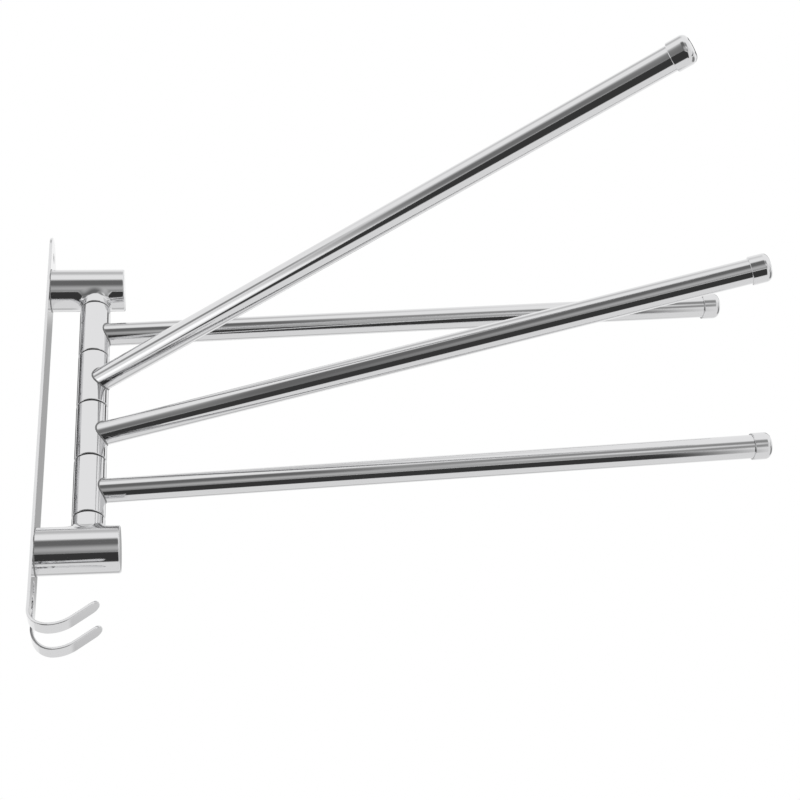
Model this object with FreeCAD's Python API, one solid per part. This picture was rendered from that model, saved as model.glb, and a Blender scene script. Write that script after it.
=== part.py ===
"""Swing arm towel bar: a wall plate with two hooks, two posts, and four arms on one upright pivot.

Millimetres. +Z is up, the wall is the plane Y = 0 and the front faces -Y. The origin is on the wall,
midway between the two screw holes. The arms stand part-way round their swing, as the bar is seen.
"""

import FreeCAD, Part

import math
import os

from FreeCAD import Vector

# ---- driving dimensions ----------------------------------------------------------------------

# wall plate: one bent strip of polished stainless steel sheet
PLATE_WIDTH = 24.4
PLATE_THICK = 1.5
PLATE_EDGE = 0.3            # bevel on every long edge of the sheet
HOLE_SPACING = 223.0
HOLE_DIAMETER = 6.0
SLOT_WIDTH = 8.2            # cut between the two hooks, with a round top
SLOT_BELOW_HOLE = 5.5       # top of the slot, down from the centre of the lower screw hole

# hooks: the two halves of the strip's lower end, spread apart and bent forwards and up
HOOK_SPREAD = 22.9          # centre to centre, where they are furthest apart
HOOK_BEND_BELOW_SLOT = 13.9  # start of the bend, down from the top of the slot
HOOK_HEEL_RADIUS = 9.3      # inner radius of the bend under the plate
HOOK_TOE_RADIUS = 17.4      # inner radius of the flatter bend that lifts the tip
HOOK_TIP_ANGLE = 36.0
HOOK_TIP_LENGTH = 14.9
HOOK_SPREAD_LENGTH = 26.0   # how far along the strip the two halves go on moving apart
SHANK_SECTIONS = 2          # steps of the loft down the flat part, round the heel, round the toe
HEEL_SECTIONS = 6           # and along the tip
TOE_SECTIONS = 3
TIP_SECTIONS = 3

# posts: two closed tubes that stand out from the plate
POST_DIAMETER = 24.0
POST_WALL = 1.5
POST_LENGTH = 41.0          # from the front of the plate to the face of the end disc
POST_DISC_RIM = 1.4         # thickness of the disc outside the tube
POST_DISC_EDGE = 0.4        # bevel round its face
POST_SPIGOT_LENGTH = 4.0
UPPER_POST_HEIGHT = 85.8

# upright pivot
PIVOT_REACH = 26.3          # from the wall to the axis of the pivot
ROD_DIAMETER = 10.0
ROD_IN_POST = 3.0           # how far each end of the rod stands out inside a post
SLEEVE_DIAMETER = 16.7
SLEEVE_WALL = 1.5
SLEEVE_HEIGHT = 34.9
SLEEVE_EDGE = 0.25          # chamfer round each end
WASHER_THICK = 0.7
WASHER_DIAMETER = 15.9
BUSH_LENGTH = 9.0
UPPER_COLLAR = 3.5          # from a post's wall to the nearest washer
LOWER_COLLAR = 6.0

# arms
ARM_DIAMETER = 12.7
ARM_WALL = 1.2
ARM_LENGTH = 359.4          # from the axis of the pivot to the tip of the end cap
ARM_BELOW_MIDDLE = 0.6      # each arm leaves its sleeve this far under the middle
ARM_ANGLES = (-3.1, -39.6, -20.4, -4.0)  # top to bottom, degrees about +Z from straight out
CAP_DIAMETER = 14.5
CAP_LENGTH = 10.4
CAP_SKIRT = 7.0             # how deep the tube stands in the cap
CAP_CORNER = 3.4
CAP_RIM_EDGE = 0.4

# clearances
RUNNING_RADIAL = 0.05       # rod to bush, rod to washer
RUNNING_AXIAL = 0.05        # sleeve end to washer
FIT = 0.02                  # radial, between pieces that are pressed or glued together

ALIKE = 1e-4                 # two lengths this close are the same length

# ---- sizes that follow -----------------------------------------------------------------------

ARM_COUNT = len(ARM_ANGLES)
PIVOT = Vector(0, -PIVOT_REACH, 0)
UPPER_HOLE = HOLE_SPACING / 2
LOWER_HOLE = -HOLE_SPACING / 2
SLOT_TOP = LOWER_HOLE - SLOT_BELOW_HOLE
HOOK_ROOT = SLOT_TOP - SLOT_WIDTH / 2
HOOK_BEND_START = SLOT_TOP - HOOK_BEND_BELOW_SLOT
HOOK_WIDTH = (PLATE_WIDTH - SLOT_WIDTH) / 2
HOOK_ROOT_X = (SLOT_WIDTH + HOOK_WIDTH) / 2
SLEEVE_PITCH = SLEEVE_HEIGHT + 2 * RUNNING_AXIAL + WASHER_THICK
STACK_TOP = UPPER_POST_HEIGHT - POST_DIAMETER / 2 - UPPER_COLLAR
STACK_BOTTOM = STACK_TOP - WASHER_THICK - ARM_COUNT * SLEEVE_PITCH
LOWER_POST_HEIGHT = STACK_BOTTOM - LOWER_COLLAR - POST_DIAMETER / 2
POST_FACE = -(PLATE_THICK + POST_LENGTH)
SLEEVE_BORE = SLEEVE_DIAMETER - 2 * SLEEVE_WALL
RUNNING_BORE = ROD_DIAMETER + 2 * RUNNING_RADIAL
SEAT_BORE = ROD_DIAMETER + 2 * FIT


def cylinder(diameter, start, along, length):
    return Part.makeCylinder(diameter / 2, length, start, along)


def ring(outer, inner, base, height):
    """An upright tube on the pivot axis, standing on the height base."""
    start = PIVOT + Vector(0, 0, base)
    up = Vector(0, 0, 1)
    return cylinder(outer, start, up, height).cut(cylinder(inner, start, up, height))


def revolved(points, axis_point, axis):
    """Turn a closed profile, given as edges in order, once round an axis."""
    face = Part.Face(Part.Wire(points))
    return face.revolve(axis_point, axis, 360)


def line(a, b):
    return Part.makeLine(a, b)


def arc(a, middle, b):
    return Part.Arc(a, middle, b).toShape()


# ---- wall plate and hooks --------------------------------------------------------------------

def flat_strip():
    """The flat part of the plate, from its round top down to the root of the hooks."""
    half = PLATE_WIDTH / 2
    top_left = Vector(-half, 0, UPPER_HOLE)
    top_right = Vector(half, 0, UPPER_HOLE)
    low_left = Vector(-half, 0, HOOK_ROOT)
    low_right = Vector(half, 0, HOOK_ROOT)
    crown = Vector(0, 0, UPPER_HOLE + half)
    outline = Part.Wire([
        line(low_left, top_left),
        arc(top_left, crown, top_right),
        line(top_right, low_right),
        line(low_right, low_left),
    ])
    strip = Part.Face(outline).extrude(Vector(0, -PLATE_THICK, 0))
    rims = [e for e in strip.Edges if lies_on_rim(e)]
    strip = strip.makeChamfer(PLATE_EDGE, rims)
    for height in (UPPER_HOLE, LOWER_HOLE):
        strip = strip.cut(through_hole(HOLE_DIAMETER, height))
    return strip.cut(through_hole(SLOT_WIDTH, HOOK_ROOT))


def lies_on_rim(edge):
    """True for the long edges and the round top, on both faces of the strip."""
    box = edge.BoundBox
    return box.YLength < ALIKE and box.ZLength > HOOK_WIDTH


def through_hole(diameter, height):
    return cylinder(diameter, Vector(0, PLATE_THICK, height), Vector(0, -1, 0), 3 * PLATE_THICK)


def hook_path():
    """Places along the middle of a bent hook: (distance, y, z, turn), turn in degrees from straight down."""
    heel = HOOK_HEEL_RADIUS + PLATE_THICK / 2
    toe = HOOK_TOE_RADIUS + PLATE_THICK / 2
    y = -PLATE_THICK / 2
    drop = HOOK_ROOT - HOOK_BEND_START
    places = []
    for step in range(SHANK_SECTIONS):
        down = drop * step / SHANK_SECTIONS
        places.append((down, y, HOOK_ROOT - down, 0.0))
    distance = drop
    for step in range(HEEL_SECTIONS + 1):
        angle = math.radians(90) * step / HEEL_SECTIONS
        places.append((distance + heel * angle,
                       y - heel * (1 - math.cos(angle)),
                       HOOK_BEND_START - heel * math.sin(angle),
                       math.degrees(angle)))
    distance, y, z, level = places[-1]
    lift = math.radians(HOOK_TIP_ANGLE)
    for step in range(1, TOE_SECTIONS + 1):
        angle = lift * step / TOE_SECTIONS
        places.append((distance + toe * angle,
                       y - toe * math.sin(angle),
                       z + toe * (1 - math.cos(angle)),
                       level + math.degrees(angle)))
    distance, y, z, turn = places[-1]
    for step in range(1, TIP_SECTIONS + 1):
        run = HOOK_TIP_LENGTH * step / TIP_SECTIONS
        places.append((distance + run, y - run * math.cos(lift), z + run * math.sin(lift), turn))
    return places


def hook_offset(distance):
    """How far the middle of a hook lies from the plate's centre line, easing from the root outwards."""
    t = min(distance / HOOK_SPREAD_LENGTH, 1.0)
    return HOOK_ROOT_X + (HOOK_SPREAD / 2 - HOOK_ROOT_X) * t * t * (3 - 2 * t)


def hook_section(x, y, z, turn):
    """The strip's cross-section with its corners bevelled, square to the path."""
    half_w = HOOK_WIDTH / 2
    half_t = PLATE_THICK / 2
    corners = []
    for sx, sy in ((1, 1), (-1, 1), (-1, -1), (1, -1)):
        on_side = Vector(sx * half_w, sy * (half_t - PLATE_EDGE), 0)
        on_face = Vector(sx * (half_w - PLATE_EDGE), sy * half_t, 0)
        corners += [on_side, on_face] if sx == sy else [on_face, on_side]
    wire = Part.makePolygon(corners + corners[:1])
    wire.rotate(Vector(0, 0, 0), Vector(1, 0, 0), -turn)
    wire.translate(Vector(x, y, z))
    return wire


def hook(side):
    """One hook; side is -1 or 1."""
    places = hook_path()
    sections = [hook_section(side * hook_offset(along), y, z, turn) for along, y, z, turn in places]
    shank = Part.makeLoft(sections[:SHANK_SECTIONS + 1], True, False)
    bend = Part.makeLoft(sections[SHANK_SECTIONS:], True, False)
    blade = shank.fuse(bend)
    distance, y, z, turn = places[-1]
    tip = round_tip_cutter(HOOK_WIDTH / 2, 4 * PLATE_THICK)
    tip.rotate(Vector(0, 0, 0), Vector(1, 0, 0), -turn)
    tip.translate(Vector(side * hook_offset(distance), y, z))
    return blade.cut(tip)


def round_tip_cutter(radius, depth):
    """What is cut off the square end of a blade that points down -Z and ends at Z = 0, to round it."""
    corner = Vector(-2 * radius, -depth / 2, 0)
    block = Part.makeBox(4 * radius, depth, radius, corner)
    middle = Vector(0, -depth / 2, radius)
    return block.cut(Part.makeCylinder(radius, depth, middle, Vector(0, 1, 0)))


def back_plate():
    return flat_strip().fuse([hook(-1), hook(1)]).removeSplitter()


# ---- posts -----------------------------------------------------------------------------------

def post_tube(height):
    """A tube with its wall drilled for the rod, on the side that faces the sleeves."""
    start = Vector(0, -PLATE_THICK, height)
    length = POST_LENGTH - POST_DISC_RIM
    outer = cylinder(POST_DIAMETER, start, Vector(0, -1, 0), length)
    bore = cylinder(POST_DIAMETER - 2 * POST_WALL, start, Vector(0, -1, 0), length)
    drill = cylinder(SEAT_BORE, PIVOT + Vector(0, 0, height), towards_sleeves(height), POST_DIAMETER)
    return outer.cut([bore, drill])


def towards_sleeves(height):
    """Down from a post that stands above the middle, up from one below it."""
    return Vector(0, 0, -1) if height > 0 else Vector(0, 0, 1)


def post_disc(height):
    """The disc that closes a post, with a spigot that fits the bore."""
    radius = POST_DIAMETER / 2
    out = Vector(0, -1, 0)
    seat = POST_FACE + POST_DISC_RIM
    disc = cylinder(POST_DIAMETER, Vector(0, seat, height), out, POST_DISC_RIM)
    face_edge = [edge for edge in disc.Edges if abs(edge.BoundBox.YMax - POST_FACE) < ALIKE]
    disc = disc.makeChamfer(POST_DISC_EDGE, face_edge)
    spigot_diameter = 2 * (radius - POST_WALL - FIT)
    spigot = cylinder(spigot_diameter, Vector(0, seat + POST_SPIGOT_LENGTH, height), out, POST_SPIGOT_LENGTH)
    return disc.fuse(spigot)


# ---- pivot -----------------------------------------------------------------------------------

def collar(post_height, face):
    """A turned ring between a post and the sleeves: saddled on the post, flat at the height face."""
    start = PIVOT + Vector(0, 0, post_height)
    along = towards_sleeves(post_height)
    length = abs(post_height - face)
    body = cylinder(SLEEVE_DIAMETER, start, along, length)
    saddle = cylinder(POST_DIAMETER, Vector(0, 0, post_height), Vector(0, -1, 0), 3 * PIVOT_REACH)
    bore = cylinder(SEAT_BORE, start, along, length)
    return ease_ends(body.cut([saddle, bore]), (face,))


def ease_ends(shape, heights):
    """Break the sharp outer edge of a turned piece at each of the given heights."""
    picked = [edge for edge in shape.Edges
              if edge.BoundBox.ZLength < ALIKE
              and abs(edge.BoundBox.XLength - SLEEVE_DIAMETER) < ALIKE
              and any(abs(edge.BoundBox.ZMin - height) < ALIKE for height in heights)]
    return shape.makeChamfer(SLEEVE_EDGE, picked)


def pivot_rod():
    """The rod goes through both collars and the walls of both posts."""
    inside = POST_DIAMETER / 2 - POST_WALL - ROD_IN_POST
    low = LOWER_POST_HEIGHT + inside
    high = UPPER_POST_HEIGHT - inside
    return cylinder(ROD_DIAMETER, PIVOT + Vector(0, 0, low), Vector(0, 0, 1), high - low)


def washer(index):
    top = STACK_TOP - index * SLEEVE_PITCH
    return ring(WASHER_DIAMETER, RUNNING_BORE, top - WASHER_THICK, WASHER_THICK)


def sleeve_base(index):
    return STACK_TOP - (index + 1) * SLEEVE_PITCH + RUNNING_AXIAL


def sleeve(index):
    base = sleeve_base(index)
    tube = ring(SLEEVE_DIAMETER, SLEEVE_BORE, base, SLEEVE_HEIGHT)
    return ease_ends(tube, (base, base + SLEEVE_HEIGHT))


def bush(base):
    return ring(SLEEVE_BORE - 2 * FIT, RUNNING_BORE, base, BUSH_LENGTH)


# ---- arms ------------------------------------------------------------------------------------

def swing(shape, index):
    """Turn a piece that was made straight out to the place of its arm."""
    middle = sleeve_base(index) + SLEEVE_HEIGHT / 2 - ARM_BELOW_MIDDLE
    shape.rotate(Vector(0, 0, 0), Vector(0, 0, 1), ARM_ANGLES[index])
    shape.translate(PIVOT + Vector(0, 0, middle))
    return shape


def arm_tube(index):
    """A tube with its inner end cut to sit on the sleeve, made along -Y from the pivot axis."""
    out = Vector(0, -1, 0)
    length = ARM_LENGTH - CAP_LENGTH + CAP_SKIRT
    tube = cylinder(ARM_DIAMETER, Vector(0, 0, 0), out, length)
    tube = tube.cut(cylinder(ARM_DIAMETER - 2 * ARM_WALL, Vector(0, 0, 0), out, length))
    sleeve_skin = Part.makeCylinder(SLEEVE_DIAMETER / 2, 2 * ARM_DIAMETER, Vector(0, 0, -ARM_DIAMETER))
    return swing(tube.cut(sleeve_skin), index)


def arm_cap(index):
    """A turned cap over the end of the tube, with a straight side, a round corner and a flat end."""
    radius = CAP_DIAMETER / 2
    bore = ARM_DIAMETER / 2 + FIT
    seam = -(ARM_LENGTH - CAP_LENGTH)
    inside = seam - CAP_SKIRT
    tip = -ARM_LENGTH
    corner = CAP_CORNER
    k = corner * (1 - math.sqrt(0.5))

    def at(r, y):
        return Vector(r, y, 0)

    flat = radius - corner
    edges = [
        line(at(0, inside), at(bore, inside)),
        line(at(bore, inside), at(bore, seam)),
        line(at(bore, seam), at(radius - CAP_RIM_EDGE, seam)),
        line(at(radius - CAP_RIM_EDGE, seam), at(radius, seam - CAP_RIM_EDGE)),
        line(at(radius, seam - CAP_RIM_EDGE), at(radius, tip + corner)),
        arc(at(radius, tip + corner), at(radius - k, tip + k), at(flat, tip)),
        line(at(flat, tip), at(0, tip)),
        line(at(0, tip), at(0, inside)),
    ]
    return swing(revolved(edges, Vector(0, 0, 0), Vector(0, 1, 0)), index)


# ---- every piece, by name --------------------------------------------------------------------

def all_pieces():
    pieces = {
        "back_plate": back_plate(),
        "upper_post": post_tube(UPPER_POST_HEIGHT),
        "lower_post": post_tube(LOWER_POST_HEIGHT),
        "upper_post_disc": post_disc(UPPER_POST_HEIGHT),
        "lower_post_disc": post_disc(LOWER_POST_HEIGHT),
        "upper_collar": collar(UPPER_POST_HEIGHT, STACK_TOP),
        "lower_collar": collar(LOWER_POST_HEIGHT, STACK_BOTTOM),
        "pivot_rod": pivot_rod(),
    }
    for index in range(ARM_COUNT + 1):
        pieces[f"washer_{index + 1}"] = washer(index)
    for index in range(ARM_COUNT):
        name = index + 1
        base = sleeve_base(index)
        pieces[f"sleeve_{name}"] = sleeve(index)
        pieces[f"upper_bush_{name}"] = bush(base + SLEEVE_HEIGHT - BUSH_LENGTH)
        pieces[f"lower_bush_{name}"] = bush(base)
        pieces[f"arm_tube_{name}"] = arm_tube(index)
        pieces[f"arm_cap_{name}"] = arm_cap(index)
    return pieces


os.makedirs("parts", exist_ok=True)
for node, shape in all_pieces().items():
    solid = shape.Solids[0]
    if not shape.isValid() or len(shape.Solids) != 1:
        raise ValueError(f"{node} isn't one sound solid")
    solid.exportStep(f"parts/{node}.step")
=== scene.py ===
"""Swing arm towel bar in mirror-polished stainless steel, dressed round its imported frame.

Metres, in the frame of the model: +Z is up, the wall is the plane Y = 0 and the front faces -Y.
Sizes are written in millimetres and scaled by MM where a mesh is made.
"""

import math

import bmesh
import bpy
from mathutils import Matrix, Vector


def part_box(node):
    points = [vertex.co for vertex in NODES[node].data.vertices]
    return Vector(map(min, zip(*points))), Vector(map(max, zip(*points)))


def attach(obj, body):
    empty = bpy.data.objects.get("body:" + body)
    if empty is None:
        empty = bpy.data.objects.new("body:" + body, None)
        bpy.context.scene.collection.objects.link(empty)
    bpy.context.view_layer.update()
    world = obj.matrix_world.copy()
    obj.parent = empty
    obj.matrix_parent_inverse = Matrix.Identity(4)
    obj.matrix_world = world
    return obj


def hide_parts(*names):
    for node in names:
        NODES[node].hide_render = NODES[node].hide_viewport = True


MM = 0.001

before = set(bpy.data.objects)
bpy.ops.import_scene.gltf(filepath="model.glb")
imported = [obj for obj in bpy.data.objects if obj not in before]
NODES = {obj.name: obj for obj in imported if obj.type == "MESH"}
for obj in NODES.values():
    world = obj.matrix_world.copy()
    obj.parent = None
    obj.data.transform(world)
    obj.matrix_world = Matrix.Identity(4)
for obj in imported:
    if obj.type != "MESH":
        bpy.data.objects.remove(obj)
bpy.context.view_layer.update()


# ---- sizes of the real pieces, in millimetres -------------------------------------------------

# wall plate and hooks
PLATE_WIDTH = 24.4
PLATE_THICK = 1.5
PLATE_EDGE = 0.35            # radius that polishing leaves on the sheet's edges
SCREW_HOLE_HEIGHT = 111.5
SCREW_HOLE_RADIUS = 3.0
SLOT_RADIUS = 4.1
HOOK_ROOT = -121.1
HOOK_BEND_START = -130.9
HOOK_HEEL = 10.05            # radii along the middle of the sheet
HOOK_TOE = 18.15
HOOK_LIFT = 36.0
HOOK_TIP = 14.9
HOOK_WIDTH = 8.1
HOOK_ROOT_X = 8.15
HOOK_TIP_X = 11.45
HOOK_SPREAD_LENGTH = 26.0
HOOK_LAP = 0.6               # how far a hook's mesh reaches up into the flat of the plate
HOOK_SINK = 0.01             # and how far it lies under the plate's skin there
HOOK_END = 0.01              # from the last section to the very tip, and half that section's width

# posts
POST_RADIUS = 12.0
POST_BORE_RADIUS = 10.5
POST_FRONT = 42.5
POST_DISC = 1.4
POST_SPIGOT = 4.0            # how far the disc's step reaches into the tube
POST_ROUND = 0.8             # the disc's edge, rounded by the polishing wheel
POST_HEIGHTS = {"upper": 85.8, "lower": -91.2}

# pivot
PIVOT_REACH = 26.3
SLEEVE_RADIUS = 8.35
SLEEVE_BORE_RADIUS = 6.85
SLEEVE_EASE = 0.45           # radius of the turned edges of sleeves and collars
ROD_BORE_RADIUS = 5.02
COLLAR_FACES = {"upper": 70.3, "lower": -73.2}
COLLAR_BLEND = 1.5           # reach of the polished weld along a collar
SIDE_BLEND = 2.8             # its reach round the post's side
END_BLEND = 6.5              # and along the post
BLEND_DEPTH = 0.4            # how far it goes into both
BLEND_STEPS = 14

# arms
ARM_SWING = {1: -3.1, 2: -39.6, 3: -20.4, 4: -4.0}
ARM_HEIGHTS = {1: 51.5, 2: 15.8, 3: -19.9, 4: -55.6}
ARM_RADIUS = 6.35
ARM_BORE_RADIUS = 5.15
ARM_TUBE_END = 356.0
ARM_TIP = 359.4
CAP_SEAM = 349.0
CAP_RADIUS = 7.25
CAP_CORNER = 3.4
CAP_CROWN = 0.3
CAP_LIP = 0.4
CAP_GAP = 0.1                # between a tube's end and the cap's inside

# welds and fits
ARM_WELD = 0.5               # radius of the bead round an arm's root
POST_WELD = 0.4              # and round a post's foot
SEAT = 0.05                  # how far an end that is cut to a round bar reaches into it
FIT = 0.02                   # between a piece and the bore or tube that it fits

# how finely they are drawn
ROUND_STEPS = 128
EASE_STEPS = 4
SEAM_STEPS = {"arm": 72, "post": 96}
SHARP_ANGLE = math.radians(40)


# ---- materials --------------------------------------------------------------------------------

def linear(hex_colour):
    """An sRGB hex colour as the linear RGBA that a shader takes."""
    channels = [int(hex_colour[i:i + 2], 16) / 255 for i in (1, 3, 5)]
    curve = [c / 12.92 if c <= 0.04045 else ((c + 0.055) / 1.055) ** 2.4 for c in channels]
    return (*curve, 1.0)


def add(tree, kind, links=None, **settings):
    """Add one node: settings go on the node or its inputs, links map an input to an output socket."""
    node = tree.nodes.new(kind)
    for name, value in settings.items():
        if hasattr(node, name):
            setattr(node, name, value)
        else:
            node.inputs[name.replace("_", " ")].default_value = value
    for name, source in (links or {}).items():
        tree.links.new(source, node.inputs[name])
    return node


def new_material(name):
    """An empty node material and its tree."""
    material = bpy.data.materials.new(name)
    material.use_nodes = True
    material.node_tree.nodes.clear()
    return material, material.node_tree


def polished_stainless(name, along, turn=0.0):
    """Stainless steel tube and sheet, buffed to a mirror: the eye gets clear reflections that the
    buffing wheel's hairlines, along the piece, draw out a little to both sides.

    The hairlines are drawn 0.35 mm apart, coarser than real ones, so that they show. They follow the
    axis given by along, after it is turned by some degrees about +Z.
    """
    material, tree = new_material(name)
    place = add(tree, "ShaderNodeTexCoord").outputs["Object"]
    across, length = 1 / (0.35 * MM), 1 / (60 * MM)
    scale = {"Y": (across, length, across), "Z": (across, across, length)}[along]
    turned = add(tree, "ShaderNodeMapping", {"Vector": place}, vector_type="TEXTURE",
                 Rotation=(0, 0, math.radians(turn)))
    stretched = add(tree, "ShaderNodeMapping", {"Vector": turned.outputs[0]}, Scale=scale)
    hairlines = add(tree, "ShaderNodeTexNoise", {"Vector": stretched.outputs[0]}, Scale=1.0, Detail=2.0)
    smears = add(tree, "ShaderNodeTexNoise", {"Vector": place}, Scale=1 / (28 * MM), Detail=3.0)
    rough = add(tree, "ShaderNodeMapRange", {"Value": smears.outputs["Fac"]},
                From_Min=0.3, From_Max=0.7, To_Min=0.06, To_Max=0.10)
    bump = add(tree, "ShaderNodeBump", {"Height": hairlines.outputs["Fac"]},
               Strength=0.04, Distance=0.02 * MM)
    shader = add(tree, "ShaderNodeBsdfPrincipled", {"Roughness": rough.outputs[0], "Normal": bump.outputs[0]},
                 Metallic=1.0)
    shader.inputs["Base Color"].default_value = linear("#DFDFE0")
    add(tree, "ShaderNodeOutputMaterial", {"Surface": shader.outputs[0]})
    return material


def weld_metal():
    """TIG weld in stainless steel, brushed but not buffed: small ripples and a duller skin."""
    material, tree = new_material("tig_weld_bead")
    place = add(tree, "ShaderNodeTexCoord").outputs["Object"]
    ripples = add(tree, "ShaderNodeTexNoise", {"Vector": place}, Scale=1 / (0.8 * MM), Detail=2.0)
    tint = add(tree, "ShaderNodeValToRGB", {"Fac": ripples.outputs["Fac"]})
    tint.color_ramp.elements[0].color = linear("#6E6E6F")
    tint.color_ramp.elements[1].color = linear("#BBBBBB")
    bump = add(tree, "ShaderNodeBump", {"Height": ripples.outputs["Fac"]}, Strength=0.4, Distance=0.1 * MM)
    shader = add(tree, "ShaderNodeBsdfPrincipled", {"Base Color": tint.outputs[0], "Normal": bump.outputs[0]},
                 Metallic=1.0, Roughness=0.25)
    add(tree, "ShaderNodeOutputMaterial", {"Surface": shader.outputs[0]})
    return material


def drawn_steel():
    """Cold-drawn stainless rod, not buffed: fine lines along it and a satin shine."""
    material, tree = new_material("drawn_stainless_rod")
    place = add(tree, "ShaderNodeTexCoord").outputs["Object"]
    across, length = 1 / (0.3 * MM), 1 / (40 * MM)
    stretched = add(tree, "ShaderNodeMapping", {"Vector": place}, Scale=(across, across, length))
    lines = add(tree, "ShaderNodeTexNoise", {"Vector": stretched.outputs[0]}, Scale=1.0, Detail=2.0)
    bump = add(tree, "ShaderNodeBump", {"Height": lines.outputs["Fac"]}, Strength=0.2, Distance=0.03 * MM)
    shader = add(tree, "ShaderNodeBsdfPrincipled", {"Normal": bump.outputs[0]}, Metallic=1.0, Roughness=0.28)
    shader.inputs["Base Color"].default_value = linear("#C4C3C0")
    add(tree, "ShaderNodeOutputMaterial", {"Surface": shader.outputs[0]})
    return material


def turned_nylon(name, colour, deep):
    """Nylon turned from bar: a waxy, nearly matt face with the fine rings of the lathe tool."""
    material, tree = new_material(name)
    place = add(tree, "ShaderNodeTexCoord").outputs["Object"]
    across, ring = 1 / (3 * MM), 1 / (0.2 * MM)
    squeezed = add(tree, "ShaderNodeMapping", {"Vector": place}, Scale=(across, across, ring))
    rings = add(tree, "ShaderNodeTexNoise", {"Vector": squeezed.outputs[0]}, Scale=1.0, Detail=2.0)
    shade = add(tree, "ShaderNodeValToRGB", {"Fac": rings.outputs["Fac"]})
    shade.color_ramp.elements[0].color = linear(deep)
    shade.color_ramp.elements[1].color = linear(colour)
    bump = add(tree, "ShaderNodeBump", {"Height": rings.outputs["Fac"]}, Strength=0.2, Distance=0.03 * MM)
    shader = add(tree, "ShaderNodeBsdfPrincipled",
                 {"Base Color": shade.outputs[0], "Normal": bump.outputs[0]}, Roughness=0.5, IOR=1.53)
    add(tree, "ShaderNodeOutputMaterial", {"Surface": shader.outputs[0]})
    return material


ARM_STEEL = {arm: polished_stainless(f"polished_stainless_arm_{arm}", "Y", turn)
             for arm, turn in ARM_SWING.items()}
SLEEVE_STEEL = polished_stainless("polished_stainless_sleeves", "Z")
POST_STEEL = polished_stainless("polished_stainless_posts", "Y")
PLATE_STEEL = polished_stainless("polished_stainless_plate", "Z")
WELD = weld_metal()
ROD_STEEL = drawn_steel()
BLACK_NYLON = turned_nylon("black_nylon_washer", "#1E1E20", "#121214")
WHITE_NYLON = turned_nylon("natural_nylon_bush", "#E4E2DA", "#D6D3C9")


# ---- making and finishing pieces --------------------------------------------------------------

def put(name, data):
    """A new object in the scene."""
    thing = bpy.data.objects.new(name, data)
    bpy.context.scene.collection.objects.link(thing)
    return thing


def evaluated_mesh(thing):
    """The mesh that an object comes to, with its modifiers and its curve's settings."""
    bpy.context.view_layer.update()
    graph = bpy.context.evaluated_depsgraph_get()
    return bpy.data.meshes.new_from_object(thing.evaluated_get(graph))


def finish_piece(name, body, mesh, material, replaced=None):
    """Shade a mesh smooth up to its real edges, with flat faces left flat, and let it ride on its body."""
    mesh.shade_smooth()
    mesh.set_sharp_from_angle(angle=SHARP_ANGLE)
    mesh.materials.clear()
    mesh.materials.append(material)
    piece = put(name, mesh)
    weights = piece.modifiers.new("area_weighted_normals", "WEIGHTED_NORMAL")
    weights.keep_sharp = True
    piece.data = evaluated_mesh(piece)
    piece.modifiers.clear()
    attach(piece, body)
    if replaced:
        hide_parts(replaced)


def around(steps):
    """Angles evenly spaced over a full turn."""
    return [2 * math.pi * step / steps for step in range(steps)]


def rounded(middle, radius, start, end, steps):
    """Points on an arc about a point of a plane, angles in degrees from its first axis to its second."""
    points = []
    for step in range(steps + 1):
        angle = math.radians(start + (end - start) * step / steps)
        points.append((middle[0] + radius * math.cos(angle), middle[1] + radius * math.sin(angle)))
    return points


def closed_spline(curve, points):
    """Add one closed line of points, in metres, to a curve."""
    spline = curve.splines.new("POLY")
    spline.points.add(len(points) - 1)
    for place, point in zip(spline.points, points):
        place.co = (*point, 1)
    spline.use_cyclic_u = True


def join_rows(work, rows, closed):
    """Join rows of vertices with faces. A row is a ring or one point; closed joins the last to the first."""
    pairs = list(zip(rows, rows[1:]))
    if closed:
        pairs.append((rows[-1], rows[0]))
    for low, high in pairs:
        count = max(len(low), len(high))
        for step in range(count):
            following = (step + 1) % count
            corners = [low[step % len(low)], low[following % len(low)],
                       high[following % len(high)], high[step % len(high)]]
            work.faces.new(list(dict.fromkeys(corners)))


def mesh_of(name, work):
    """Turn a bmesh into a mesh, with its faces outwards."""
    bmesh.ops.recalc_face_normals(work, faces=work.faces[:])
    mesh = bpy.data.meshes.new(name)
    work.to_mesh(mesh)
    work.free()
    return mesh


def saddle(radius, offset=0.0, side=1):
    """The height at which a tube meets a round bar of this radius that crosses it, at X = x."""
    return lambda x: offset + side * math.sqrt(radius ** 2 - x ** 2)


def turned_mesh(name, profile, place, closed):
    """Turn a profile of (radius, height) about +Z and put it in place.

    A height may be a function of X, where the end is cut to sit on a round bar. A closed profile is
    the section of a ring; an open one starts and ends on the axis.
    """
    work = bmesh.new()
    rows = []
    for radius, height in profile:
        level = height if callable(height) else lambda x, fixed=height: fixed
        if radius == 0:
            rows.append([work.verts.new((0, 0, level(0) * MM))])
            continue
        row = []
        for angle in around(ROUND_STEPS):
            x, y = radius * math.cos(angle), radius * math.sin(angle)
            row.append(work.verts.new((x * MM, y * MM, level(x) * MM)))
        rows.append(row)
    join_rows(work, rows, closed)
    bmesh.ops.transform(work, matrix=place, verts=work.verts[:])
    return mesh_of(name, work)


LAY_DOWN = Matrix.Rotation(math.radians(90), 4, "X")
PIVOT_PLACE = Matrix.Translation(Vector((0, -PIVOT_REACH, 0)) * MM)


def arm_place(arm):
    """From +Z at the origin to an arm's direction at its height on the pivot axis."""
    swing = Matrix.Rotation(math.radians(ARM_SWING[arm]), 4, "Z")
    return Matrix.Translation(Vector((0, -PIVOT_REACH, ARM_HEIGHTS[arm])) * MM) @ swing @ LAY_DOWN


def post_place(height):
    """From +Z at the origin to straight out from the wall at a post's height."""
    return Matrix.Translation(Vector((0, 0, height)) * MM) @ LAY_DOWN


# ---- arms -------------------------------------------------------------------------------------

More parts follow.
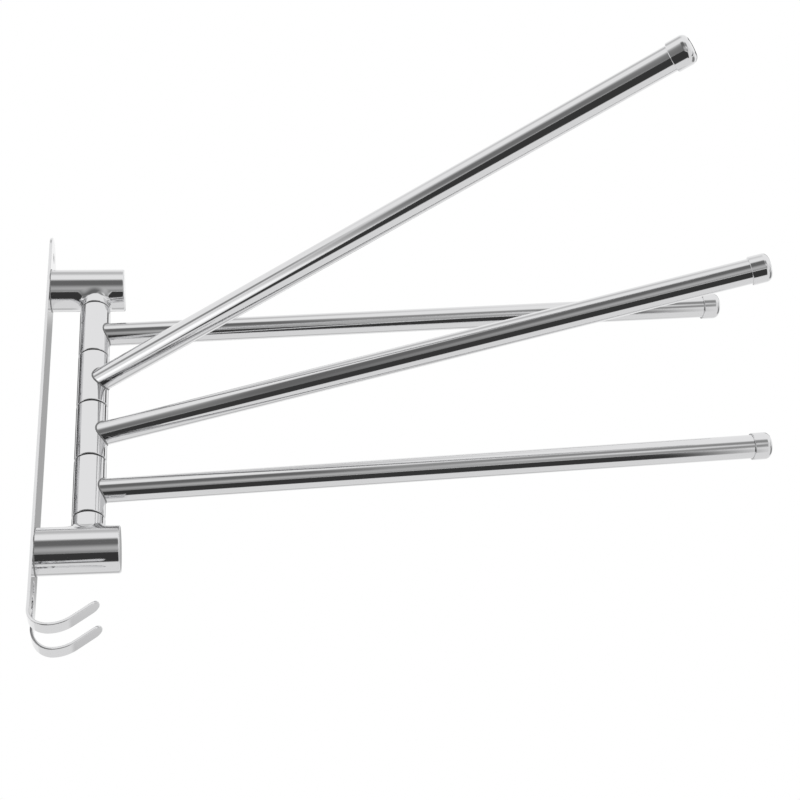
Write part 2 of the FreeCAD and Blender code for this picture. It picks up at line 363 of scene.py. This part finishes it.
def arm_tube(arm):
    """The tube, its inner end cut to the sleeve's round."""
    skin = saddle(SLEEVE_RADIUS - SEAT)
    profile = [(ARM_RADIUS, skin), (ARM_RADIUS, ARM_TUBE_END), (ARM_BORE_RADIUS, ARM_TUBE_END),
               (ARM_BORE_RADIUS, skin)]
    mesh = turned_mesh(f"long_arm_{arm}", profile, arm_place(arm), True)
    finish_piece(f"long_arm_{arm}", f"arm_{arm}", mesh, ARM_STEEL[arm], f"arm_tube_{arm}")


def end_cap(arm):
    """The cap: a thin lip at the seam, a straight side, a round corner and a slightly crowned end."""
    flat = CAP_RADIUS - CAP_CORNER
    shoulder = ARM_TIP - CAP_CROWN - CAP_CORNER
    snug = ARM_RADIUS + FIT
    inside = ARM_TUBE_END + CAP_GAP
    profile = [(0, inside), (snug, inside), (snug, CAP_SEAM)]
    profile += rounded((CAP_RADIUS - CAP_LIP, CAP_SEAM + CAP_LIP), CAP_LIP, -90, 0, EASE_STEPS)
    profile += rounded((flat, shoulder), CAP_CORNER, 0, 90, 14)
    profile += [(flat * share, ARM_TIP - CAP_CROWN * share ** 2) for share in (0.75, 0.5, 0.25)]
    profile += [(0, ARM_TIP)]
    mesh = turned_mesh(f"end_cap_{arm}", profile, arm_place(arm), False)
    finish_piece(f"end_cap_{arm}", f"arm_{arm}", mesh, ARM_STEEL[arm], f"arm_cap_{arm}")


def pivot_sleeve(arm):
    """The sleeve that carries an arm round the rod, its turned edges eased."""
    low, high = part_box(f"sleeve_{arm}")
    bottom, top = low.z / MM, high.z / MM
    shoulder = SLEEVE_RADIUS - SLEEVE_EASE
    profile = [(SLEEVE_BORE_RADIUS, bottom)]
    profile += rounded((shoulder, bottom + SLEEVE_EASE), SLEEVE_EASE, -90, 0, EASE_STEPS)
    profile += rounded((shoulder, top - SLEEVE_EASE), SLEEVE_EASE, 0, 90, EASE_STEPS)
    profile += [(SLEEVE_BORE_RADIUS, top)]
    mesh = turned_mesh(f"pivot_sleeve_{arm}", profile, PIVOT_PLACE, True)
    finish_piece(f"pivot_sleeve_{arm}", f"arm_{arm}", mesh, SLEEVE_STEEL, f"sleeve_{arm}")


# ---- posts ------------------------------------------------------------------------------------

def post(side):
    """A post's tube, from the plate to the seam of its end disc."""
    seam = POST_FRONT - POST_DISC
    profile = [(POST_RADIUS, PLATE_THICK), (POST_RADIUS, seam), (POST_BORE_RADIUS, seam),
               (POST_BORE_RADIUS, PLATE_THICK)]
    mesh = turned_mesh(f"{side}_post_tube", profile, post_place(POST_HEIGHTS[side]), True)
    finish_piece(f"{side}_post_tube", "wall_frame", mesh, POST_STEEL, f"{side}_post")


def post_end(side):
    """The disc welded into a post's end and polished flush with the tube."""
    seam = POST_FRONT - POST_DISC
    snug = POST_BORE_RADIUS - FIT
    inside = seam - POST_SPIGOT
    profile = [(0, inside), (snug, inside), (snug, seam), (POST_RADIUS, seam)]
    profile += rounded((POST_RADIUS - POST_ROUND, POST_FRONT - POST_ROUND), POST_ROUND, 0, 90, 8)
    profile += [(0, POST_FRONT)]
    mesh = turned_mesh(f"{side}_post_end", profile, post_place(POST_HEIGHTS[side]), False)
    finish_piece(f"{side}_post_end", "wall_frame", mesh, POST_STEEL, f"{side}_post_disc")


def post_collar(side):
    """The ring between a post and the sleeves, saddled on the post."""
    height, face = POST_HEIGHTS[side], COLLAR_FACES[side]
    way = 1 if face < height else -1
    seat = saddle(POST_RADIUS - SEAT, height, -way)
    shoulder = SLEEVE_RADIUS - SLEEVE_EASE
    profile = [(ROD_BORE_RADIUS, face)]
    profile += rounded((shoulder, face + way * SLEEVE_EASE), SLEEVE_EASE, -90 * way, 0, EASE_STEPS)
    profile += [(SLEEVE_RADIUS, seat), (ROD_BORE_RADIUS, seat)]
    mesh = turned_mesh(f"{side}_post_collar", profile, PIVOT_PLACE, True)
    finish_piece(f"{side}_post_collar", "wall_frame", mesh, SLEEVE_STEEL, f"{side}_collar")


def blend_section(angle, way):
    """The section of a collar's weld at an angle round the pivot: from the collar's skin in a hollow
    sweep to the post's skin, and back inside both. way is +1 where the collar stands on the post."""
    x, y = SLEEVE_RADIUS * math.cos(angle), SLEEVE_RADIUS * math.sin(angle)
    lie = math.asin(x / POST_RADIUS)
    seam = Vector((x, y, way * POST_RADIUS * math.cos(lie)))
    reach = SIDE_BLEND + (END_BLEND - SIDE_BLEND) * math.sin(angle) ** 2
    out = Vector((x, y / math.cos(lie))).normalized() * reach
    lie += out.x / POST_RADIUS
    skin = Vector((math.sin(lie), 0, way * math.cos(lie)))
    foot = skin * POST_RADIUS + Vector((0, y + out.y, 0))
    corner = Vector((x, y, foot.z + way * (foot.x - x) * math.tan(lie)))
    head = corner + Vector((0, 0, way * COLLAR_BLEND))
    inwards = Vector((-x, -y, 0)).normalized() * BLEND_DEPTH
    points = []
    for step in range(BLEND_STEPS + 1):
        t = step / BLEND_STEPS
        points.append(head * (1 - t) ** 2 + corner * 2 * t * (1 - t) + foot * t ** 2)
    points += [foot - skin * BLEND_DEPTH, seam + inwards - Vector((0, 0, way * BLEND_DEPTH)), head + inwards]
    return points


def collar_weld(side):
    """The weld between a collar and its post, ground hollow and polished with them."""
    way = 1 if COLLAR_FACES[side] > POST_HEIGHTS[side] else -1
    middle = Vector((0, -PIVOT_REACH, POST_HEIGHTS[side]))
    work = bmesh.new()
    rows = []
    for angle in around(ROUND_STEPS):
        rows.append([work.verts.new((point + middle) * MM) for point in blend_section(angle, way)])
    join_rows(work, rows, True)
    name = f"{side}_collar_weld"
    finish_piece(name, "wall_frame", mesh_of(name, work), POST_STEEL)


# ---- wall plate and hooks ---------------------------------------------------------------------

def flat_plate_mesh():
    """The flat of the plate: a round top, two screw holes and the slot, every edge softened."""
    curve = bpy.data.curves.new("plate_outline", "CURVE")
    curve.dimensions = "2D"
    curve.fill_mode = "BOTH"
    curve.extrude = (PLATE_THICK / 2 - PLATE_EDGE) * MM
    curve.bevel_depth = PLATE_EDGE * MM
    curve.bevel_resolution = 3
    curve.offset = -PLATE_EDGE * MM
    half = PLATE_WIDTH / 2
    edge = [(-half, HOOK_ROOT)]
    edge += rounded((0, HOOK_ROOT), SLOT_RADIUS, 180, 0, 32)
    edge += [(half, HOOK_ROOT)]
    edge += rounded((0, SCREW_HOLE_HEIGHT), half, 0, 180, 64)
    lines = [edge]
    for height in (SCREW_HOLE_HEIGHT, -SCREW_HOLE_HEIGHT):
        lines.append(rounded((0, height), SCREW_HOLE_RADIUS, 0, 360, 64)[:-1])
    for line in lines:
        closed_spline(curve, [(x * MM, z * MM, 0) for x, z in line])
    outline = put("plate_outline", curve)
    mesh = evaluated_mesh(outline)
    bpy.data.objects.remove(outline)
    mesh.transform(Matrix.Translation((0, -PLATE_THICK / 2 * MM, 0)) @ LAY_DOWN)
    return mesh


def hook_places(steps=16):
    """Places along the middle of a hook: distance, y, z and how far it has turned from straight down."""
    y = -PLATE_THICK / 2
    drop = HOOK_ROOT - HOOK_BEND_START
    places = [(-HOOK_LAP, y, HOOK_ROOT + HOOK_LAP, 0.0)]
    places += [(drop * step / steps, y, HOOK_ROOT - drop * step / steps, 0.0) for step in range(steps)]
    heel_end = drop + HOOK_HEEL * math.pi / 2
    lift = math.radians(HOOK_LIFT)
    for step in range(2 * steps + 1):
        turn = math.pi / 2 * step / (2 * steps)
        places.append((drop + HOOK_HEEL * turn, y - HOOK_HEEL * (1 - math.cos(turn)),
                       HOOK_BEND_START - HOOK_HEEL * math.sin(turn), turn))
    heel_y, heel_z = places[-1][1:3]
    for step in range(1, steps + 1):
        turn = lift * step / steps
        places.append((heel_end + HOOK_TOE * turn, heel_y - HOOK_TOE * math.sin(turn),
                       heel_z + HOOK_TOE * (1 - math.cos(turn)), math.pi / 2 + turn))
    toe, toe_y, toe_z, turn = places[-1]
    radius = HOOK_WIDTH / 2
    runs = [(HOOK_TIP - radius) * step / steps for step in range(1, steps + 1)]
    runs += [HOOK_TIP - radius + radius * math.sin(math.radians(angle)) for angle in range(6, 90, 6)]
    runs += [HOOK_TIP - HOOK_END]
    for run in runs:
        places.append((toe + run, toe_y - run * math.cos(lift), toe_z + run * math.sin(lift), turn))
    return places


def hook_half_width(to_tip):
    """Half the width of a hook, which ends in a half round."""
    radius = HOOK_WIDTH / 2
    if to_tip >= radius:
        return radius
    return math.sqrt(max(radius ** 2 - (radius - to_tip) ** 2, HOOK_END ** 2))


def hook_section(half_width, sink):
    """The sheet's section, width by thickness, with its four edges rounded, smaller by sink all round."""
    edge = min(PLATE_EDGE, half_width)
    wide, thick = half_width - edge - sink, PLATE_THICK / 2 - PLATE_EDGE - sink
    points = []
    for quarter, (x, t) in enumerate(((wide, thick), (-wide, thick), (-wide, -thick), (wide, -thick))):
        for step in range(EASE_STEPS + 1):
            angle = math.radians(90 * (quarter + step / EASE_STEPS))
            points.append((x + edge * math.cos(angle), t + PLATE_EDGE * math.sin(angle)))
    return points


def hook_mesh(side):
    """One hook: the sheet's section carried along the bend, easing away from the plate's middle."""
    work = bmesh.new()
    places = hook_places()
    end = places[-1][0]
    rows = []
    for along, y, z, turn in places:
        share = min(max(along / HOOK_SPREAD_LENGTH, 0.0), 1.0)
        eased = share * share * (3 - 2 * share)
        middle = side * (HOOK_ROOT_X + (HOOK_TIP_X - HOOK_ROOT_X) * eased)
        sink = HOOK_SINK if along <= 0 else 0.0
        row = []
        for x, t in hook_section(hook_half_width(end - along), sink):
            inward = Vector((0, -math.cos(turn), math.sin(turn))) * t
            row.append(work.verts.new(Vector((middle + x, y + inward.y, z + inward.z)) * MM))
        rows.append(row)
    join_rows(work, rows, False)
    work.faces.new(rows[0])
    work.faces.new(rows[-1])
    return mesh_of("hook", work)


def wall_plate():
    """The plate and its two hooks, which are one bent sheet."""
    work = bmesh.new()
    for mesh in (flat_plate_mesh(), hook_mesh(-1), hook_mesh(1)):
        work.from_mesh(mesh)
    bmesh.ops.remove_doubles(work, verts=work.verts[:], dist=0.001 * MM)
    finish_piece("wall_plate", "wall_frame", mesh_of("wall_plate", work), PLATE_STEEL, "back_plate")


# ---- welds ------------------------------------------------------------------------------------

def weld_tree():
    """Geometry nodes that lay overlapping drops of weld metal along a curve."""
    tree = bpy.data.node_groups.new("weld_bead", "GeometryNodeTree")
    sockets = tree.interface
    sockets.new_socket("Seam", in_out="INPUT", socket_type="NodeSocketGeometry")
    radius = sockets.new_socket("Bead radius", in_out="INPUT", socket_type="NodeSocketFloat")
    pitch = sockets.new_socket("Drop pitch", in_out="INPUT", socket_type="NodeSocketFloat")
    seed = sockets.new_socket("Seed", in_out="INPUT", socket_type="NodeSocketInt")
    sockets.new_socket("Bead", in_out="OUTPUT", socket_type="NodeSocketGeometry")
    given = tree.nodes.new("NodeGroupInput")
    made = tree.nodes.new("NodeGroupOutput")
    path = add(tree, "GeometryNodeResampleCurve", {"Curve": given.outputs["Seam"],
                                                   "Length": given.outputs["Drop pitch"]}, mode="LENGTH")
    tangent = add(tree, "GeometryNodeInputTangent")
    lie = add(tree, "FunctionNodeAlignRotationToVector", {"Vector": tangent.outputs[0]}, axis="Z")
    drop = add(tree, "GeometryNodeMeshUVSphere", {"Radius": given.outputs["Bead radius"]},
               Segments=14, Rings=8)
    wobble = add(tree, "FunctionNodeRandomValue", {"Seed": given.outputs["Seed"]}, data_type="FLOAT")
    least, most = wobble.inputs[2], wobble.inputs[3]
    least.default_value = 0.9
    most.default_value = 1.1
    size = add(tree, "ShaderNodeCombineXYZ", {"X": wobble.outputs[1], "Y": wobble.outputs[1]}, Z=0.85)
    drops = add(tree, "GeometryNodeInstanceOnPoints",
                {"Points": path.outputs[0], "Instance": drop.outputs[0], "Rotation": lie.outputs[0],
                 "Scale": size.outputs[0]})
    real = add(tree, "GeometryNodeRealizeInstances", {"Geometry": drops.outputs[0]})
    smooth = add(tree, "GeometryNodeSetShadeSmooth", {"Geometry": real.outputs[0]})
    metal = add(tree, "GeometryNodeSetMaterial", {"Geometry": smooth.outputs[0]}, Material=WELD)
    tree.links.new(metal.outputs[0], made.inputs["Bead"])
    return tree, radius.identifier, pitch.identifier, seed.identifier


WELD_TREE, WELD_RADIUS_INPUT, WELD_PITCH_INPUT, WELD_SEED_INPUT = weld_tree()


def weld(name, body, seams, radius, seed):
    """One body's weld beads, each along a closed seam of points in metres, with its drops a radius apart."""
    curve = bpy.data.curves.new(name, "CURVE")
    curve.dimensions = "3D"
    for seam in seams:
        closed_spline(curve, seam)
    path = put(f"{name}_seam", curve)
    beads = path.modifiers.new("weld_bead", "NODES")
    beads.node_group = WELD_TREE
    beads[WELD_RADIUS_INPUT] = radius * MM
    beads[WELD_PITCH_INPUT] = radius * MM
    beads[WELD_SEED_INPUT] = seed
    mesh = evaluated_mesh(path)
    bpy.data.objects.remove(path)
    finish_piece(name, body, mesh, WELD)


def arm_root(arm):
    """The seam where an arm ends on its sleeve, in metres."""
    seam = []
    for angle in around(SEAM_STEPS["arm"]):
        x, y = ARM_RADIUS * math.cos(angle), ARM_RADIUS * math.sin(angle)
        seam.append(arm_place(arm) @ (Vector((x, y, saddle(SLEEVE_RADIUS)(x))) * MM))
    return seam


def post_foot(height):
    """The seam where a post stands on the plate, in metres."""
    seam = []
    for angle in around(SEAM_STEPS["post"]):
        x, z = POST_RADIUS * math.cos(angle), height + POST_RADIUS * math.sin(angle)
        seam.append(Vector((x, -PLATE_THICK, z)) * MM)
    return seam


def welds():
    """The small beads that are left as they were laid: at the arms' roots and the posts' feet."""
    for arm in ARM_SWING:
        weld(f"arm_{arm}_weld", f"arm_{arm}", [arm_root(arm)], ARM_WELD, seed=arm)
    feet = [post_foot(height) for height in POST_HEIGHTS.values()]
    weld("post_welds", "wall_frame", feet, POST_WELD, seed=7)


for arm in ARM_SWING:
    arm_tube(arm)
    end_cap(arm)
    pivot_sleeve(arm)
for side in POST_HEIGHTS:
    post(side)
    post_end(side)
    post_collar(side)
    collar_weld(side)
wall_plate()
welds()


# ---- CAD nodes --------------------------------------------------------------------------------

def dress(material, *names):
    """Give CAD nodes their material. Only the rod, the washers and the bushes show; pieces above stand
    for the others."""
    for name in names:
        for slot in NODES[name].material_slots:
            slot.material = material


dress(PLATE_STEEL, "back_plate")
dress(POST_STEEL, "upper_post", "lower_post", "upper_post_disc", "lower_post_disc")
dress(SLEEVE_STEEL, "upper_collar", "lower_collar")
dress(ROD_STEEL, "pivot_rod")
for arm in ARM_SWING:
    dress(ARM_STEEL[arm], f"arm_tube_{arm}", f"arm_cap_{arm}")
    dress(SLEEVE_STEEL, f"sleeve_{arm}")
    dress(WHITE_NYLON, f"upper_bush_{arm}", f"lower_bush_{arm}")
for washer in range(1, 6):
    dress(BLACK_NYLON, f"washer_{washer}")


# ---- studio: places and sizes in millimetres --------------------------------------------------

WHITE = (1, 1, 1, 1)
FLOOR_HEIGHT = -1500
FLOOR_HALF = 40000
FLOOR_SHINE = 0.88           # how bright the metal sees the floor
ROOM_LIGHT = 0.8             # how bright the room lights what isn't polished
BAR_MIDDLE = Vector((-70, -170, 0))
CAMERA_PLACE = Vector((-600.34, -76.58, -484.53))
CAMERA_LENS = 63.44


def flat_card(name, middle, right, rise):
    """A rectangle; right and rise run from its middle to its edges."""
    middle, right, rise = Vector(middle) * MM, Vector(right) * MM, Vector(rise) * MM
    corners = [middle - right - rise, middle + right - rise, middle + right + rise, middle - right + rise]
    mesh = bpy.data.meshes.new(name)
    mesh.from_pydata(corners, [], [(0, 1, 2, 3)])
    return mesh


def studio_card(name, middle, right, rise, grey, soft):
    """A flat card that only the polished metal sees, for its light and dark bands.

    grey is the brightness it shows, and soft the share of each half over which it fades out.
    """
    mesh = flat_card(name, middle, right, rise)
    layer = mesh.uv_layers.new(name="card")
    for loop, corner in enumerate(((-1, -1), (1, -1), (1, 1), (-1, 1))):
        layer.uv[loop].vector = corner
    material, tree = new_material(name)
    place = add(tree, "ShaderNodeUVMap", uv_map="card")
    split = add(tree, "ShaderNodeSeparateXYZ", {"Vector": place.outputs[0]})
    edges = []
    for axis in ("X", "Y"):
        reach = add(tree, "ShaderNodeMath", {0: split.outputs[axis]}, operation="ABSOLUTE")
        edge = add(tree, "ShaderNodeMapRange", {"Value": reach.outputs[0]}, interpolation_type="SMOOTHSTEP",
                   From_Min=1 - soft, From_Max=1.0, To_Min=1.0, To_Max=0.0)
        edges.append(edge.outputs[0])
    cover = add(tree, "ShaderNodeMath", {0: edges[0], 1: edges[1]}, operation="MULTIPLY")
    shade = add(tree, "ShaderNodeEmission", Color=WHITE, Strength=grey)
    clear = add(tree, "ShaderNodeBsdfTransparent")
    mix = add(tree, "ShaderNodeMixShader", {0: cover.outputs[0], 1: clear.outputs[0], 2: shade.outputs[0]})
    add(tree, "ShaderNodeOutputMaterial", {"Surface": mix.outputs[0]})
    mesh.materials.append(material)
    card = put(name, mesh)
    card.visible_camera = False
    card.visible_diffuse = False
    card.visible_shadow = False
    card.visible_transmission = False


def facing_card(name, across, height, distance, half_width, half_height, grey, soft):
    """A card that faces the bar. across is its bearing from -X towards -Y and height its elevation;
    these and its half sizes as the bar sees them are in degrees."""
    a, e = math.radians(across), math.radians(height)
    towards = Vector((-math.cos(a) * math.cos(e), -math.sin(a) * math.cos(e), math.sin(e)))
    right = towards.cross(Vector((0, 0, 1))).normalized()
    rise = right.cross(towards).normalized()
    right = right * distance * math.tan(math.radians(half_width))
    rise = rise * distance * math.tan(math.radians(half_height))
    studio_card(name, BAR_MIDDLE + towards * distance, right, rise, grey, soft)


def studio_cards():
    """The cards, each placed where a band of the metal mirrors it. Flags are dark, and a card that is
    nearer covers one behind it."""
    studio_card("black_table", (-460, 75, -1000), (540, 0, 0), (0, 825, 0), 0.045, 0.2)
    studio_card("grey_panel", (1200, -150, 890), (0, 500, 0), (0, 0, 340), 0.42, 0.3)
    facing_card("high_flag", 122, 42, 1700, 8, 12, 0.05, 0.4)
    facing_card("far_flag", -149, 38, 1700, 15, 12, 0.12, 0.5)
    facing_card("grey_wall", -19, -14, 1700, 27, 42, 0.16, 0.45)
    facing_card("low_glow", -4, -29, 1500, 30, 24, 0.55, 1.0)
    facing_card("pale_wall", 14, -15, 1750, 20, 38, 0.32, 0.5)
    facing_card("pale_streak", 17, -17, 1600, 15, 12, 0.85, 0.8)
    facing_card("left_wall", -49, -15, 1750, 19, 38, 0.2, 0.8)
    facing_card("left_strip", -70, 14, 1700, 13, 13, 0.3, 0.7)
    facing_card("soft_box", -76, -26, 1500, 13, 20, 1.35, 0.8)
    facing_card("ceiling", -30, 70, 1800, 30, 22, 0.62, 0.9)
    facing_card("front_wall", 105, -14, 1800, 24, 20, 0.25, 0.5)
    facing_card("front_flag", 76, -8, 1500, 4, 30, 0.05, 0.6)
    facing_card("back_wall", -112, -22, 1800, 22, 22, 0.2, 0.6)
    facing_card("right_wall", 176, -14, 1800, 26, 12, 0.6, 0.6)


def floor():
    """Pale matt paint on a wide floor, which the metal sees as an even white."""
    mesh = flat_card("studio_floor", (0, 0, FLOOR_HEIGHT), (FLOOR_HALF, 0, 0), (0, FLOOR_HALF, 0))
    material, tree = new_material("pale_floor_paint")
    grain = add(tree, "ShaderNodeTexNoise", {"Vector": add(tree, "ShaderNodeTexCoord").outputs["Object"]},
                Scale=1 / (40 * MM), Detail=3.0)
    rough = add(tree, "ShaderNodeMapRange", {"Value": grain.outputs["Fac"]}, To_Min=0.7, To_Max=0.9)
    paint = add(tree, "ShaderNodeBsdfPrincipled", {"Roughness": rough.outputs[0]})
    paint.inputs["Base Color"].default_value = linear("#F6F6F6")
    ray = add(tree, "ShaderNodeLightPath")
    glow = add(tree, "ShaderNodeEmission", Color=WHITE, Strength=FLOOR_SHINE)
    mix = add(tree, "ShaderNodeMixShader",
              {0: ray.outputs["Is Glossy Ray"], 1: paint.outputs[0], 2: glow.outputs[0]})
    add(tree, "ShaderNodeOutputMaterial", {"Surface": mix.outputs[0]})
    mesh.materials.append(material)
    ground = put("studio_floor", mesh)


def white_surround():
    """A white surround that the camera and the polished metal see, and a soft light for the rest."""
    world = bpy.data.worlds.new("white_surround")
    world.use_nodes = True
    tree = world.node_tree
    tree.nodes.clear()
    ray = add(tree, "ShaderNodeLightPath")
    seen = add(tree, "ShaderNodeMath", {0: ray.outputs["Is Camera Ray"], 1: ray.outputs["Is Glossy Ray"]},
               operation="MAXIMUM")
    level = add(tree, "ShaderNodeMapRange", {"Value": seen.outputs[0]}, To_Min=ROOM_LIGHT, To_Max=1.0)
    shine = add(tree, "ShaderNodeBackground", {"Strength": level.outputs[0]}, Color=WHITE)
    add(tree, "ShaderNodeOutputWorld", {"Surface": shine.outputs[0]})
    bpy.context.scene.world = world


def camera():
    """A short telephoto lens, below the bar and to its left, looking up along the arms."""
    right = Vector((-0.103908, -0.988607, -0.108898))
    up = Vector((-0.630836, -0.019139, 0.775680))
    back = -Vector((0.768927, -0.149296, 0.621660))
    lens = bpy.data.cameras.new("camera")
    lens.sensor_width = 36.0
    lens.lens = CAMERA_LENS
    turn = Matrix((right, up, back)).transposed().to_4x4()
    eye = put("camera", lens)
    eye.matrix_world = Matrix.Translation(CAMERA_PLACE * MM) @ turn
    bpy.context.scene.camera = eye


floor()
studio_cards()
white_surround()
camera()
bpy.context.scene.view_settings.view_transform = "Standard"

bpy.context.view_layer.update()
